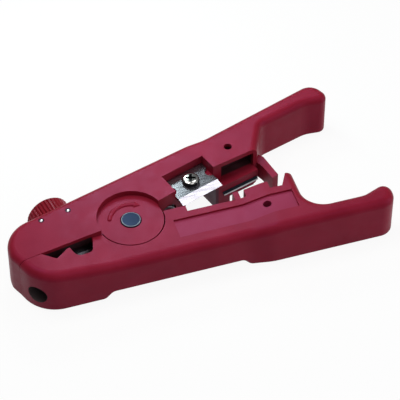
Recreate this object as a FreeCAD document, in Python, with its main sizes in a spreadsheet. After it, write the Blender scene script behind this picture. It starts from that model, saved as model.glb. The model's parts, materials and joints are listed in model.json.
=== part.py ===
"""Cable jacket stripper: two moulded lever arms on one rivet, with sprung jaws and three kinds of blade.

The arms are modelled about the pivot axis, at rest: jaws closed, handles open. +X runs along the lower arm to
the handles, +Y points from the lower arm to the upper arm, and +Z points up out of the front face.
The written pieces are moved so that the origin is the middle of the tool's outline, on the plane it lies on.
"""
import FreeCAD, Part
import math
import os
import Sketcher

# Driving dimensions, in millimetres and degrees.
SIZES = {
    # What both arms share
    "thickness": 17.5,
    "hub_radius": 11.3,
    "hub_face": 15.5,
    "lap_level": 8.8,
    "lap_gap": 0.2,
    "hub_clearance": 0.4,
    "parting_angle": 10.5,
    "parting_drop": 1.2,
    "jaw_gap": 0.15,
    "nose_reach": 43.4,
    "nose_tip_x": 41.3,
    "back_round": 0.9,
    "cut_run": 1.0,
    "tip_trim": 1.3,
    # Lower arm, outer side
    "lower_front_round": 3.0,
    "lower_depth": 18.6,
    "nose_depth": 19.0,
    "nose_heel_x": 37.2,
    "nose_heel_round": 13.0,
    "grip_start": 37.0,
    "grip_run": 8.0,
    "grip_bulge": 1.4,
    "grip_blend": 22.0,
    "handle_reach": 89.9,
    "handle_end_round": 5.3,
    # Lower arm, inner side
    "crest_depth": 9.5,
    "crest_lean": 0.6,
    "crest_round": 3.3,
    "crest_foot": 79.5,
    "crest_foot_round": 8.0,
    "handle_inner": 13.2,
    "finger_round": 8.0,
    "horn_right": 59.2,
    "horn_top": 3.5,
    "horn_width": 2.7,
    "guard_slot_right": 53.7,
    "gap_floor": 1.7,
    "flat_block_right": 49.3,
    "flat_block_width": 8.5,
    "flat_block_top": 1.5,
    "stop_notch_width": 2.0,
    "stop_tooth_width": 2.0,
    "stop_tooth_top": 1.8,
    "spring_seat_land": 4.4,
    "spring_seat_top": 0.8,
    # Lower arm, front and back levels
    "nose_ramp_start": 34.0,
    "nose_ramp_end": 10.5,
    "nose_ramp_blend": 20.0,
    "grip_ramp_start": 38.5,
    "grip_ramp_end": 47.5,
    "grip_ramp_blend": 12.0,
    "back_recess": 2.7,
    "back_recess_left": 14.3,
    "back_recess_right": 37.2,
    "back_step_run": 2.5,
    "back_step_round": 2.5,
    # Notches of the lower jaw, measured from the hub along the parting line
    "round_notch_wall": 3.9,
    "round_notch_width": 9.0,
    "round_notch_depth": 5.8,
    "round_notch_lean": 2.5,
    "round_notch_inset": 0.7,
    "round_notch_round": 2.3,
    "notch_land": 0.9,
    "notch_tip_drop": 1.2,
    "vee_notch_width": 9.1,
    "vee_notch_depth": 4.0,
    "vee_notch_foot": 5.0,
    "vee_notch_round": 0.7,
    # Recess, holes and slots of the lower arm
    "panel_wall": 2.4,
    "panel_right": 56.2,
    "panel_top": 4.4,
    "panel_bottom": 12.6,
    "panel_depth": 0.7,
    "nose_hole_radius": 3.6,
    "nose_hole_depth": 6.5,
    "nose_hole_x": 37.9,
    "nose_hole_y": 15.9,
    "nose_hole_angle": 42.0,
    "nose_hole_level": 6.8,
    "guard_slot_depth": 8.0,
    "guard_slot_roof": 11.0,
    "guard_slot_horn": 1.2,
    "guard_slot_heel": 57.0,
    # Upper arm
    "upper_front_round": 2.6,
    "nose_shoulder": 4.5,
    "nose_shoulder_round": 5.0,
    "upper_nose_height": 6.7,
    "upper_nose_round": 12.0,
    "outer_knee_x": 28.0,
    "outer_knee_y": 27.4,
    "outer_bend_x": 34.3,
    "outer_bend_y": 28.4,
    "outer_blend": 20.0,
    "tip_outer_x": 80.7,
    "tip_outer_y": 44.3,
    "tip_outer_round": 5.5,
    "tip_inner_x": 85.5,
    "tip_inner_y": 34.2,
    "tip_inner_round": 2.8,
    "bump_x": 75.5,
    "bump_y": 35.0,
    "bump_round": 10.0,
    "finger_top_x": 56.4,
    "finger_top_y": 29.3,
    "finger_top_round": 5.0,
    "gape_angle": 20.2,
    "gape_reach": 35.4,
    "edge_left": 33.8,
    "edge_height": 13.7,
    "edge_angle": 13.8,
    "edge_length": 18.0,
    # Guard fin of the upper arm
    "guard_level": 3.2,
    "guard_face": 10.0,
    "guard_root_x": 50.8,
    "guard_root_y": 19.2,
    "guard_heel_x": 52.6,
    "guard_heel_y": 15.7,
    "guard_tip_left": 54.2,
    "guard_tip_low": 9.3,
    "guard_tip_right": 56.6,
    "guard_tip_high": 10.3,
    "guard_back_x": 54.4,
    "guard_back_y": 20.0,
    "guard_top_x": 52.0,
    "guard_top_y": 23.0,
    # Cutter window and blade
    "window_x": 23.46,
    "window_y": 17.33,
    "window_angle": 18.5,
    "window_drop": 18.0,
    "window_land_left": 4.2,
    "window_land_right": 1.2,
    "cutter_floor": 9.6,
    "cutter_level": 13.2,
    "cutter_length": 16.6,
    "cutter_height": 12.4,
    "cutter_thickness": 0.9,
    "cutter_bevel": 2.9,
    "cutter_side_gap": 0.3,
    "cutter_notch_radius": 1.9,
    "cutter_notch_drop": 5.1,
    "cutter_slot_gap": 0.3,
    "cutter_slot_depth": 3.6,
    "cutter_slot_middle": 27.6,
    "cutter_slot_end": 0.9,
    "cutter_screw_radius": 1.5,
    "cutter_head_radius": 3.0,
    "cutter_head_height": 2.0,
    "cutter_head_crown": 1.6,
    "cutter_nut_flat": 5.5,
    "cutter_nut_height": 2.4,
    "cutter_nut_seat": 1.2,
    # Flat-cable blades
    "blade_land": 0.1,
    "flat_level": 5.6,
    "flat_thickness": 1.0,
    "flat_bevel": 1.6,
    "flat_slot_gap": 0.3,
    "flat_angle": 16.3,
    "flat_start": 38.2,
    "flat_length": 14.4,
    "flat_height": 11.6,
    "flat_drop": 0.7,
    "flat_ledge": 9.5,
    "flat_cover": 0.4,
    "flat_block_start": 34.9,
    "flat_block_end": 53.0,
    "flat_block_root": 6.0,
    "flat_pocket_roof": 15.7,
    "flat_pocket_left": 3.2,
    "flat_pocket_right": 16.4,
    "flat_pocket_depth": 4.0,
    "flat_well_left": 9.4,
    "flat_well_right": 13.2,
    "flat_well_floor": 11.0,
    "flat_well_depth": 9.5,
    "flat_setback": 2.6,
    "flat_setback_left": 41.2,
    "lower_flat_width": 7.6,
    "lower_flat_height": 11.0,
    "lower_flat_edge": 1.0,
    "blade_pin_radius": 1.4,
    "blade_pin_foot": 2.0,
    "blade_pin_length": 8.0,
    "upper_pin_x": 41.6,
    "upper_pin_y": 21.6,
    "lower_pin_x": 46.3,
    "lower_pin_y": 7.7,
    # Pivot
    "rivet_radius": 2.3,
    "rivet_head_radius": 3.5,
    "rivet_head_height": 1.6,
    "rivet_head_proud": 0.4,
    "rivet_head_edge": 0.3,
    "hub_core_inset": 3.0,
    "rivet_upset_radius": 3.4,
    "rivet_upset_height": 1.2,
    "rivet_upset_round": 0.8,
    "rivet_fit": 0.05,
    "washer_radius": 4.6,
    "washer_thickness": 0.8,
    # Return spring
    "spring_wall": 0.95,
    "spring_level": 9.1,
    "spring_radius": 2.25,
    "spring_wire": 0.4,
    "spring_turns": 4.5,
    "spring_pocket_radius": 2.95,
    "spring_foot": 5.6,
    "spring_head": 11.0,
    "spring_seat_gap": 0.1,
    # Depth dial and its screw, along the dial's axis from the pivot's level
    "dial_radius": 7.6,
    "dial_top": 22.3,
    "dial_chamfer": 0.8,
    "dial_knob_foot": 13.5,
    "dial_neck_radius": 2.9,
    "dial_flange_radius": 6.2,
    "dial_flange_foot": 10.6,
    "dial_flange_top": 11.6,
    "dial_clearance": 0.3,
    "dial_ribs": 36,
    "dial_rib_depth": 0.45,
    "dial_rib_half_width": 0.84,
    "dial_pin_radius": 0.75,
    "dial_pin_height": 12.43,
    "dial_pin_left": 6.1,
    "dial_pin_right": 3.9,
    "dial_pin_foot": 1.5,
    "dial_washer_thickness": 0.4,
    "dial_washer_bore": 2.6,
    "lead_screw_radius": 2.0,
    "lead_screw_foot": 5.6,
    "lead_screw_head": 17.5,
    # Strip blade and its carrier, in the same frame
    "depth_travel": 1.0,
    "carrier_wall": 1.4,
    "carrier_width": 17.8,
    "carrier_depth": 9.0,
    "carrier_foot": 0.4,
    "carrier_top": 8.0,
    "carrier_clearance": 0.2,
    "carrier_bore_foot": 4.4,
    "carrier_nut_side": 7.0,
    "carrier_nut_foot": 5.6,
    "carrier_nut_height": 2.0,
    "strip_length": 16.6,
    "strip_height": 6.0,
    "strip_thickness": 1.0,
    "strip_bevel": 1.6,
    "strip_projection": 0.6,
    "strip_slot_gap": 0.25,
    "strip_pin_radius": 1.0,
    "strip_pin_offset": 5.0,
    "strip_pin_height": 2.4,
    "fit": 0.05,
}

FULL_TURN = 360
HALF_TURN = 180
QUARTER_TURN = 90
SPRING_WIRE_SIDES = 8
# A point this near to an edge lies on it, and a cut takes at least this volume
NEAR = 0.01
LEAST_CUT = 0.01

doc = FreeCAD.newDocument("cable_jacket_stripper")


def make_sheet():
    """The spreadsheet with one named cell for each driving dimension."""
    sheet = doc.addObject("Spreadsheet::Sheet", "Sizes")
    for row, (name, number) in enumerate(SIZES.items(), start=1):
        sheet.set(f"A{row}", name)
        sheet.set(f"B{row}", str(number))
        sheet.setAlias(f"B{row}", name)
    doc.recompute()
    return sheet


class Size:
    """A number that keeps the spreadsheet formula it came from."""

    def __init__(self, value, text):
        self.value = value
        self.text = text

    def joined(self, other, sign, value):
        return Size(value, f"({self.text} {sign} {other.text})")

    def __add__(self, other):
        other = size(other)
        return self.joined(other, "+", self.value + other.value)

    def __sub__(self, other):
        other = size(other)
        return self.joined(other, "-", self.value - other.value)

    def __mul__(self, other):
        other = size(other)
        return self.joined(other, "*", self.value * other.value)

    def __truediv__(self, other):
        other = size(other)
        return self.joined(other, "/", self.value / other.value)

    def __neg__(self):
        return self * -1

    def __rsub__(self, other):
        return size(other) - self

    __radd__ = __add__
    __rmul__ = __mul__


class Dimensions:
    """The named cells as sizes: d.thickness is the cell called thickness."""

    def __getattr__(self, name):
        return Size(float(SIZES[name]), f"Sizes.{name}")


make_sheet()
d = Dimensions()


def size(item):
    """A plain number as a size, so that both can stand in one formula."""
    if isinstance(item, Size):
        return item
    return Size(float(item), repr(float(item)))


def sine(angle):
    angle = size(angle)
    return Size(math.sin(math.radians(angle.value)), f"sin({angle.text})")


def cosine(angle):
    angle = size(angle)
    return Size(math.cos(math.radians(angle.value)), f"cos({angle.text})")


def arctangent(slope):
    slope = size(slope)
    return Size(math.degrees(math.atan(slope.value)), f"(atan({slope.text}) / 1 deg)")


def turned(x, y, angle):
    """A point of a frame that is turned about the pivot, in the part's own frame."""
    return (x * cosine(angle) - y * sine(angle), x * sine(angle) + y * cosine(angle))


def moved(frame, x, y):
    """A point of a frame (x, y, turn), in the part's own frame."""
    across, up = turned(x, y, frame[2])
    return frame[0] + across, frame[1] + up


def bind(item, name, measure):
    """Tie one property to the spreadsheet."""
    item.setExpression(name, size(measure).text)


def bind_place(item, name, x, y, z, angle):
    """Tie a placement to the spreadsheet: a position and a turn about Z."""
    setattr(item, name, FreeCAD.Placement(
        FreeCAD.Vector(size(x).value, size(y).value, size(z).value),
        FreeCAD.Rotation(FreeCAD.Vector(0, 0, 1), size(angle).value or 1e-9)))
    bind(item, f"{name}.Base.x", x)
    bind(item, f"{name}.Base.y", y)
    bind(item, f"{name}.Base.z", z)
    if size(angle).value:
        bind(item, f"{name}.Rotation.Angle", angle)


def new_body(label):
    return doc.addObject("PartDesign::Body", label)


def new_sketch(body, name, frame=(0, 0, 0), level=0, plane="XY_Plane"):
    """A sketch on one of the body's own planes, moved to a frame (x, y, turn) and lifted to a level."""
    sketch = body.newObject("Sketcher::SketchObject", name)
    support = [item for item in body.Origin.OriginFeatures if item.Role == plane][0]
    sketch.AttachmentSupport = (support, [""])
    sketch.MapMode = "FlatFace"
    bind_place(sketch, "AttachmentOffset", frame[0], frame[1], level, frame[2])
    return sketch


def add_rules(sketch, rules):
    """Add sketch rules in one go, each with the size it is bound to, or None."""
    indices = sketch.addConstraint([rule for rule, measure in rules])
    for index, (rule, measure) in zip(indices, rules):
        if measure is not None:
            bind(sketch, f"Constraints[{index}]", measure)


def point_rules(geometry, place, x, y):
    """The rules that fix one sketch point by its two coordinates."""
    return [(Sketcher.Constraint(kind, geometry, place, size(measure).value), measure)
            for kind, measure in (("DistanceX", x), ("DistanceY", y))]


def corner_round(before, point, after, radius):
    """The arc that rounds one corner, its two ends, and which end of the arc comes first."""
    back = (before - point).normalize()
    on = (after - point).normalize()
    half = back.getAngle(on) / 2
    centre = point + (back + on).normalize() * (radius / math.sin(half))
    start = point + back * (radius / math.tan(half))
    end = point + on * (radius / math.tan(half))
    first = 1 if (start - centre).cross(end - centre).z > 0 else 2
    angles = [math.atan2(place.y - centre.y, place.x - centre.x) for place in (start, end)]
    circle = Part.Circle(centre, FreeCAD.Vector(0, 0, 1), radius)
    arc = Part.ArcOfCircle(circle, angles[first - 1], angles[2 - first])
    return start, end, arc, first


def draw_outline(sketch, corners):
    """A closed outline through corners (x, y) or (x, y, radius), with every size bound."""
    if not corners:
        return
    points = [FreeCAD.Vector(size(c[0]).value, size(c[1]).value, 0) for c in corners]
    count = len(corners)
    rounds = []
    for i, corner in enumerate(corners):
        if len(corner) == 2:
            rounds.append((points[i], points[i], None, None))
        else:
            after = points[(i + 1) % count]
            rounds.append(corner_round(points[i - 1], points[i], after, size(corner[2]).value))
    lines = [sketch.addGeometry(Part.LineSegment(rounds[i][1], rounds[(i + 1) % count][0]), False)
             for i in range(count)]
    rules = []
    for i, corner in enumerate(corners):
        coming = lines[i - 1]
        going = lines[i]
        start, end, arc, first = rounds[i]
        if arc is None:
            rules.append((Sketcher.Constraint("Coincident", coming, 2, going, 1), None))
            rules += point_rules(going, 1, corner[0], corner[1])
            continue
        bend = sketch.addGeometry(arc, False)
        point = sketch.addGeometry(Part.Point(points[i]), True)
        rules += [
            (Sketcher.Constraint("Tangent", coming, 2, bend, first), None),
            (Sketcher.Constraint("Tangent", bend, 3 - first, going, 1), None),
            (Sketcher.Constraint("Radius", bend, size(corner[2]).value), corner[2]),
            (Sketcher.Constraint("PointOnObject", point, 1, coming), None),
            (Sketcher.Constraint("PointOnObject", point, 1, going), None),
        ]
        rules += point_rules(point, 1, corner[0], corner[1])
    add_rules(sketch, rules)


def draw_circles(sketch, circles):
    """Circles (x, y, radius), with every size bound."""
    for x, y, radius in circles:
        centre = FreeCAD.Vector(size(x).value, size(y).value, 0)
        ring = Part.Circle(centre, FreeCAD.Vector(0, 0, 1), size(radius).value)
        geometry = sketch.addGeometry(ring, False)
        rules = [(Sketcher.Constraint("Radius", geometry, size(radius).value), radius)]
        add_rules(sketch, rules + point_rules(geometry, 3, x, y))


def rectangle(left, bottom, right, top):
    return [(left, bottom), (right, bottom), (right, top), (left, top)]


def add_slab(body, name, low, high, corners=(), circles=(), frame=(0, 0, 0)):
    """Material between two levels, over an outline."""
    sketch = new_sketch(body, f"{name}_sketch", frame, low)
    draw_outline(sketch, corners)
    draw_circles(sketch, circles)
    pad = body.newObject("PartDesign::Pad", name)
    pad.Profile = sketch
    bind(pad, "Length", size(high) - low)
    doc.recompute()
    return pad


def checked_cut(body, name, before):
    """Stop if a cut missed the solid."""
    doc.recompute()
    if body.Shape.Volume > before - LEAST_CUT:
        raise RuntimeError(f"{body.Label}: {name} cuts nothing")


def cut_slab(body, name, low, high, corners=(), circles=(), frame=(0, 0, 0)):
    """Material taken away between two levels, over an outline or circles."""
    before = body.Shape.Volume
    sketch = new_sketch(body, f"{name}_sketch", frame, low)
    draw_outline(sketch, corners)
    draw_circles(sketch, circles)
    pocket = body.newObject("PartDesign::Pocket", name)
    pocket.Profile = sketch
    pocket.Reversed = True
    bind(pocket, "Length", size(high) - low)
    checked_cut(body, name, before)
    return pocket


def cut_side(body, name, corners):
    """A profile seen along Y (x, z), taken away through the whole width."""
    before = body.Shape.Volume
    sketch = new_sketch(body, f"{name}_sketch", plane="XZ_Plane")
    draw_outline(sketch, corners)
    pocket = body.newObject("PartDesign::Pocket", name)
    pocket.Profile = sketch
    pocket.Type = "ThroughAll"
    pocket.SideType = "Symmetric"
    checked_cut(body, name, before)


def stepped(steps):
    """The half profile of a round stepped shape from steps (radius, from, to) along its axis."""
    corners = [(0, steps[0][1])]
    for radius, start, end in steps:
        corners += [(radius, start), (radius, end)]
    corners.append((0, steps[-1][2]))
    return corners


def bore(body, name, level, frame, steps):
    """A round stepped hole whose axis lies level, along the frame's own Y."""
    before = body.Shape.Volume
    sketch = new_sketch(body, f"{name}_sketch", frame, level)
    draw_outline(sketch, stepped(steps))
    groove = body.newObject("PartDesign::Groove", name)
    groove.Profile = sketch
    groove.ReferenceAxis = (sketch, ["V_Axis"])
    groove.Angle = FULL_TURN
    checked_cut(body, name, before)


def turned_piece(label, corners, plane):
    """A round piece: its half profile turned about the plane's upright axis."""
    body = new_body(label)
    sketch = new_sketch(body, f"{label}_profile", plane=plane)
    draw_outline(sketch, corners)
    turn = body.newObject("PartDesign::Revolution", f"{label}_turn")
    turn.Profile = sketch
    turn.ReferenceAxis = (sketch, ["V_Axis"])
    turn.Angle = FULL_TURN
    doc.recompute()
    return body


def round_edge(body, name, radius, test):
    """Round the smooth run of edges that starts at the one edge the test picks."""
    base = body.Tip
    chosen = [i for i, edge in enumerate(base.Shape.Edges, start=1) if test(edge)]
    fillet = body.newObject("PartDesign::Fillet", name)
    fillet.Base = (base, [f"Edge{i}" for i in chosen[:1]])
    bind(fillet, "Radius", radius)
    doc.recompute()


def passes(edge, x, y, z):
    """Whether an edge runs through a point."""
    probe = Part.Vertex(size(x).value, size(y).value, size(z).value)
    return edge.distToShape(probe)[0] < NEAR


def jaw_point(along, above):
    """A point given along and above the line at which the jaws part."""
    return turned(along, above, d.parting_angle)


# Frames that several pieces share
ORIGIN = ((d.handle_reach - d.nose_reach) / 2,
          (d.tip_outer_y - d.tip_trim - d.lower_depth - d.grip_bulge) / 2)
HUB_SOCKET = d.hub_radius + d.hub_clearance
HUB_CORE = d.hub_radius - d.hub_core_inset
MIDDLE = d.thickness / 2
PARTING = -d.parting_drop
NOSE_PARTING = (
    (PARTING - d.nose_tip_x * sine(d.parting_angle)) / cosine(d.parting_angle))
DIAL_REACH = d.hub_radius + d.carrier_wall + d.carrier_width / 2
DIAL_FRAME = (*turned(-DIAL_REACH, 0, d.parting_angle), d.parting_angle)
ROUND_NOTCH_START = d.hub_radius + d.round_notch_wall
ROUND_NOTCH_END = ROUND_NOTCH_START + d.round_notch_width
VEE_NOTCH_START = ROUND_NOTCH_END + d.notch_land
WINDOW_FRAME = (d.window_x, d.window_y, d.window_angle)
EDGE_FRAME = (d.edge_left, d.edge_height, d.edge_angle)
FLAT_FRAME = (0, 0, d.flat_angle)
SPRING_X = d.hub_radius + d.spring_wall + d.spring_pocket_radius
SPRING_FRAME = (SPRING_X, 0, 0)
SPRING_SEAT_RIGHT = SPRING_X + d.spring_seat_land
NOSE_HOLE_FRAME = (-d.nose_hole_x, -d.nose_hole_y, d.nose_hole_angle - 90)
STRIP_EDGE = PARTING - d.strip_projection
STRIP_TOP = STRIP_EDGE + d.strip_height
FLAT_BLOCK_LEFT = d.flat_block_right - d.flat_block_width
TOOTH_RIGHT = FLAT_BLOCK_LEFT - d.stop_notch_width
TOOTH_LEFT = TOOTH_RIGHT - d.stop_tooth_width
WINDOW_HALF = d.cutter_length / 2 + d.cutter_side_gap
CUTTER_SLOT_HALF = d.cutter_length / 2 + d.cutter_slot_end
SCREW_PLACE = (0, -d.cutter_notch_drop - d.fit)
LOWER_FLAT_LEFT = d.flat_block_right - d.lower_flat_width


def lower_arm_outline():
    """Nose, outer wall, handle, toothed gap edge and notched jaw of the lower arm."""
    grip_y = -d.lower_depth - d.grip_bulge
    floor = -d.gap_floor
    jaw = PARTING - d.jaw_gap
    round_low = jaw - d.round_notch_depth
    return [
        (-d.nose_tip_x, NOSE_PARTING - d.jaw_gap),
        (-d.nose_heel_x, -d.nose_depth, d.nose_heel_round),
        (d.grip_start, -d.lower_depth, d.grip_blend),
        (d.grip_start + d.grip_run, grip_y, d.grip_blend),
        (d.handle_reach, grip_y, d.handle_end_round),
        (d.handle_reach - d.crest_lean, -d.crest_depth, d.crest_round),
        (d.crest_foot, -d.handle_inner, d.crest_foot_round),
        (d.horn_right, -d.handle_inner, d.finger_round),
        (d.horn_right, d.horn_top),
        (d.horn_right - d.horn_width, d.horn_top),
        (d.guard_slot_right, floor),
        (d.flat_block_right, floor),
        (d.flat_block_right, d.flat_block_top),
        (FLAT_BLOCK_LEFT, d.flat_block_top),
        (FLAT_BLOCK_LEFT, floor),
        (TOOTH_RIGHT, floor),
        (TOOTH_RIGHT, d.stop_tooth_top),
        (TOOTH_LEFT, d.stop_tooth_top),
        (TOOTH_LEFT, floor),
        (SPRING_SEAT_RIGHT, floor),
        (SPRING_SEAT_RIGHT, d.spring_seat_top),
        (HUB_CORE, d.spring_seat_top),
        jaw_point(-HUB_CORE, jaw),
        jaw_point(-ROUND_NOTCH_START, jaw),
        (*jaw_point(-ROUND_NOTCH_START - d.round_notch_lean, round_low), d.round_notch_round),
        (*jaw_point(d.round_notch_inset - ROUND_NOTCH_END, round_low), d.round_notch_round),
        jaw_point(-ROUND_NOTCH_END, jaw - d.notch_tip_drop),
        jaw_point(-VEE_NOTCH_START, jaw - d.notch_tip_drop),
        (*jaw_point(-VEE_NOTCH_START - d.vee_notch_foot, jaw - d.vee_notch_depth), d.vee_notch_round),
        jaw_point(-VEE_NOTCH_START - d.vee_notch_width, jaw),
    ]


def cut_label_recess(body, high):
    """A shallow recess whose floor follows the front face up the ramp to the handle."""
    left = d.hub_radius + d.panel_wall
    before = body.Shape.Volume
    sketch = new_sketch(body, "label_recess_sketch", level=d.panel_top, plane="XZ_Plane")
    draw_outline(sketch, [
        (left, d.hub_face - d.panel_depth),
        (d.grip_ramp_start, d.hub_face - d.panel_depth, d.grip_ramp_blend),
        (d.grip_ramp_end, d.thickness - d.panel_depth, d.grip_ramp_blend),
        (d.panel_right, d.thickness - d.panel_depth),
        (d.panel_right, high),
        (left, high),
    ])
    recess = body.newObject("PartDesign::Pocket", "label_recess")
    recess.Profile = sketch
    recess.Reversed = True
    bind(recess, "Length", d.panel_bottom - d.panel_top)
    checked_cut(body, "label_recess", before)


def make_lower_arm():
    body = new_body("lower_arm")
    low = -d.cut_run
    high = d.thickness + d.cut_run
    far = d.handle_reach + d.nose_reach
    add_slab(body, "lower_blank", low, high, lower_arm_outline())
    cut_side(body, "front_face", [
        (-far, d.thickness),
        (-d.nose_ramp_start, d.thickness, d.nose_ramp_blend),
        (-d.nose_ramp_end, d.hub_face, d.nose_ramp_blend),
        (d.grip_ramp_start, d.hub_face, d.grip_ramp_blend),
        (d.grip_ramp_end, d.thickness, d.grip_ramp_blend),
        (far, d.thickness),
        (far, high + high),
        (-far, high + high),
    ])
    cut_side(body, "back_face", [
        (-far, 0),
        (-d.back_recess_left, 0, d.back_step_round),
        (-d.back_recess_left + d.back_step_run, d.back_recess, d.back_step_round),
        (d.back_recess_right - d.back_step_run, d.back_recess, d.back_step_round),
        (d.back_recess_right, 0, d.back_step_round),
        (far, 0),
        (far, low + low),
        (-far, low + low),
    ])
    outer_lean = (d.nose_depth - d.lower_depth) / (d.grip_start + d.nose_heel_x)
    outer_middle = (0, -d.lower_depth - outer_lean * d.grip_start)
    round_edge(body, "front_rim", d.lower_front_round, lambda edge: passes(edge, *outer_middle, d.hub_face))
    round_edge(body, "back_rim", d.back_round, lambda edge: passes(edge, *outer_middle, d.back_recess))
    cut_slab(body, "hub_socket", d.lap_level, high, circles=[(0, 0, HUB_SOCKET)])
    add_slab(body, "lower_hub", d.back_recess, d.lap_level, circles=[(0, 0, d.hub_radius)])
    cut_slab(body, "rivet_hole", low, high, circles=[(0, 0, d.rivet_radius + d.fit)])
    cut_label_recess(body, high)
    cut_slab(body, "cutter_slot",
             d.cutter_level - d.cutter_slot_gap, d.cutter_level + d.cutter_thickness + d.cutter_slot_gap,
             rectangle(d.cutter_slot_middle - CUTTER_SLOT_HALF, -d.cutter_slot_depth,
                       d.cutter_slot_middle + CUTTER_SLOT_HALF, d.horn_top))
    cut_slab(body, "guard_slot", low, d.guard_slot_roof, [
        (d.flat_block_right, -d.guard_slot_depth),
        (d.guard_slot_heel, -d.guard_slot_depth),
        (d.horn_right - d.guard_slot_horn, -d.handle_inner + d.finger_round),
        (d.horn_right - d.guard_slot_horn, d.horn_top + d.cut_run),
        (d.flat_block_right, d.horn_top + d.cut_run),
    ])
    cut_slab(body, "flat_blade_way", low, d.flat_ledge + d.flat_slot_gap,
             rectangle(TOOTH_LEFT - d.cut_run, -d.gap_floor, d.flat_block_right, d.horn_top + d.cut_run))
    cut_slab(body, "lower_flat_slot", d.flat_level, d.flat_level + d.flat_thickness,
             rectangle(LOWER_FLAT_LEFT - d.fit, -d.lower_flat_edge - d.lower_flat_height - d.fit,
                       d.flat_block_right + d.cut_run, d.flat_block_top))
    cut_slab(body, "lower_pin_hole", d.blade_pin_foot + d.back_recess, high,
             circles=[(d.lower_pin_x, -d.lower_pin_y, d.blade_pin_radius + d.fit)])
    bore(body, "lower_spring_pocket", d.spring_level, SPRING_FRAME,
         [(d.spring_pocket_radius, -d.spring_foot, d.horn_top)])
    strip_half = d.strip_thickness / 2 + d.strip_slot_gap
    cut_slab(body, "strip_blade_slot", MIDDLE - strip_half, MIDDLE + strip_half,
             rectangle(-d.strip_length / 2 - d.fit - d.jaw_gap,
                       STRIP_EDGE - d.depth_travel - d.strip_slot_gap,
                       d.strip_length / 2 + d.fit + d.jaw_gap, 0),
             frame=DIAL_FRAME)
    bore(body, "nose_hole", d.nose_hole_level, NOSE_HOLE_FRAME,
         [(d.nose_hole_radius, -d.nose_hole_depth, d.nose_hole_depth)])
    return body


def upper_arm_outline():
    """Jaw, gape edge, finger recess, handle and outer edge of the upper arm."""
    return [
        (-d.nose_reach, -d.nose_shoulder, d.nose_shoulder_round),
        (-d.nose_tip_x, NOSE_PARTING),
        jaw_point(-HUB_CORE, PARTING),
        turned(HUB_CORE, 0, d.gape_angle),
        turned(d.gape_reach, 0, d.gape_angle),
        (d.edge_left, d.edge_height),
        moved(EDGE_FRAME, d.edge_length, 0),
        (d.finger_top_x, d.finger_top_y, d.finger_top_round),
        (d.bump_x, d.bump_y, d.bump_round),
        (d.tip_inner_x, d.tip_inner_y, d.tip_inner_round),
        (d.tip_outer_x, d.tip_outer_y, d.tip_outer_round),
        (d.outer_bend_x, d.outer_bend_y, d.outer_blend),
        (d.outer_knee_x, d.outer_knee_y, d.outer_blend),
        (-d.nose_reach, d.upper_nose_height, d.upper_nose_round),
    ]


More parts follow.
